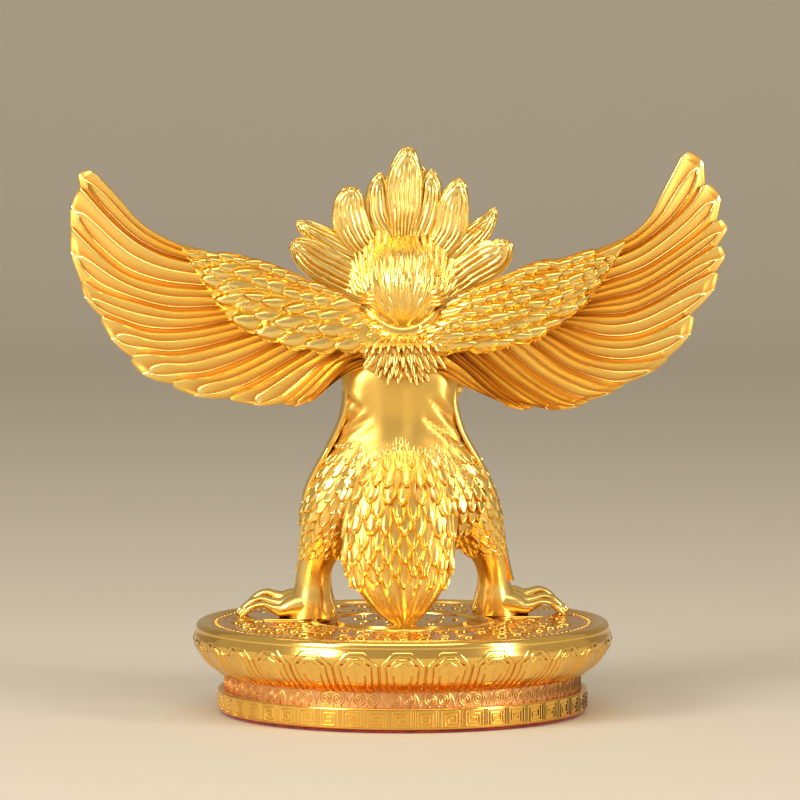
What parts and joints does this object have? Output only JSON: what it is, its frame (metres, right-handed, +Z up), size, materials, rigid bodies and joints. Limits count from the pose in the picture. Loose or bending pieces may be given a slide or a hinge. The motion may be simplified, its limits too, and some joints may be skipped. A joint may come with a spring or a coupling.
{
  "type": "garuda figure",
  "caption": "Small gilded garuda with spread wings, a flame-like crest and a feathered tail, standing on a round lotus plinth.",
  "frame": {"origin": "centre of the underside, on the surface that the plinth stands on", "axes": "+Z up, the figure faces -Y with its back towards +Y, and its own left wing is towards +X"},
  "size_m": [0.0991, 0.0626, 0.0859],
  "materials": {
    "figure_gold": "bright gold plate on cast zinc alloy, satin on the skin and polished on the feather edges",
    "plinth_gold": "mirror-bright gold plate on cast zinc alloy, matt in the scroll frieze",
    "felt": "short-pile felt"
  },
  "bodies": {
    "root": {"garuda_figure": "figure_gold", "lotus_plinth": "plinth_gold", "felt_pad": "felt"}
  },
  "joints": []
}
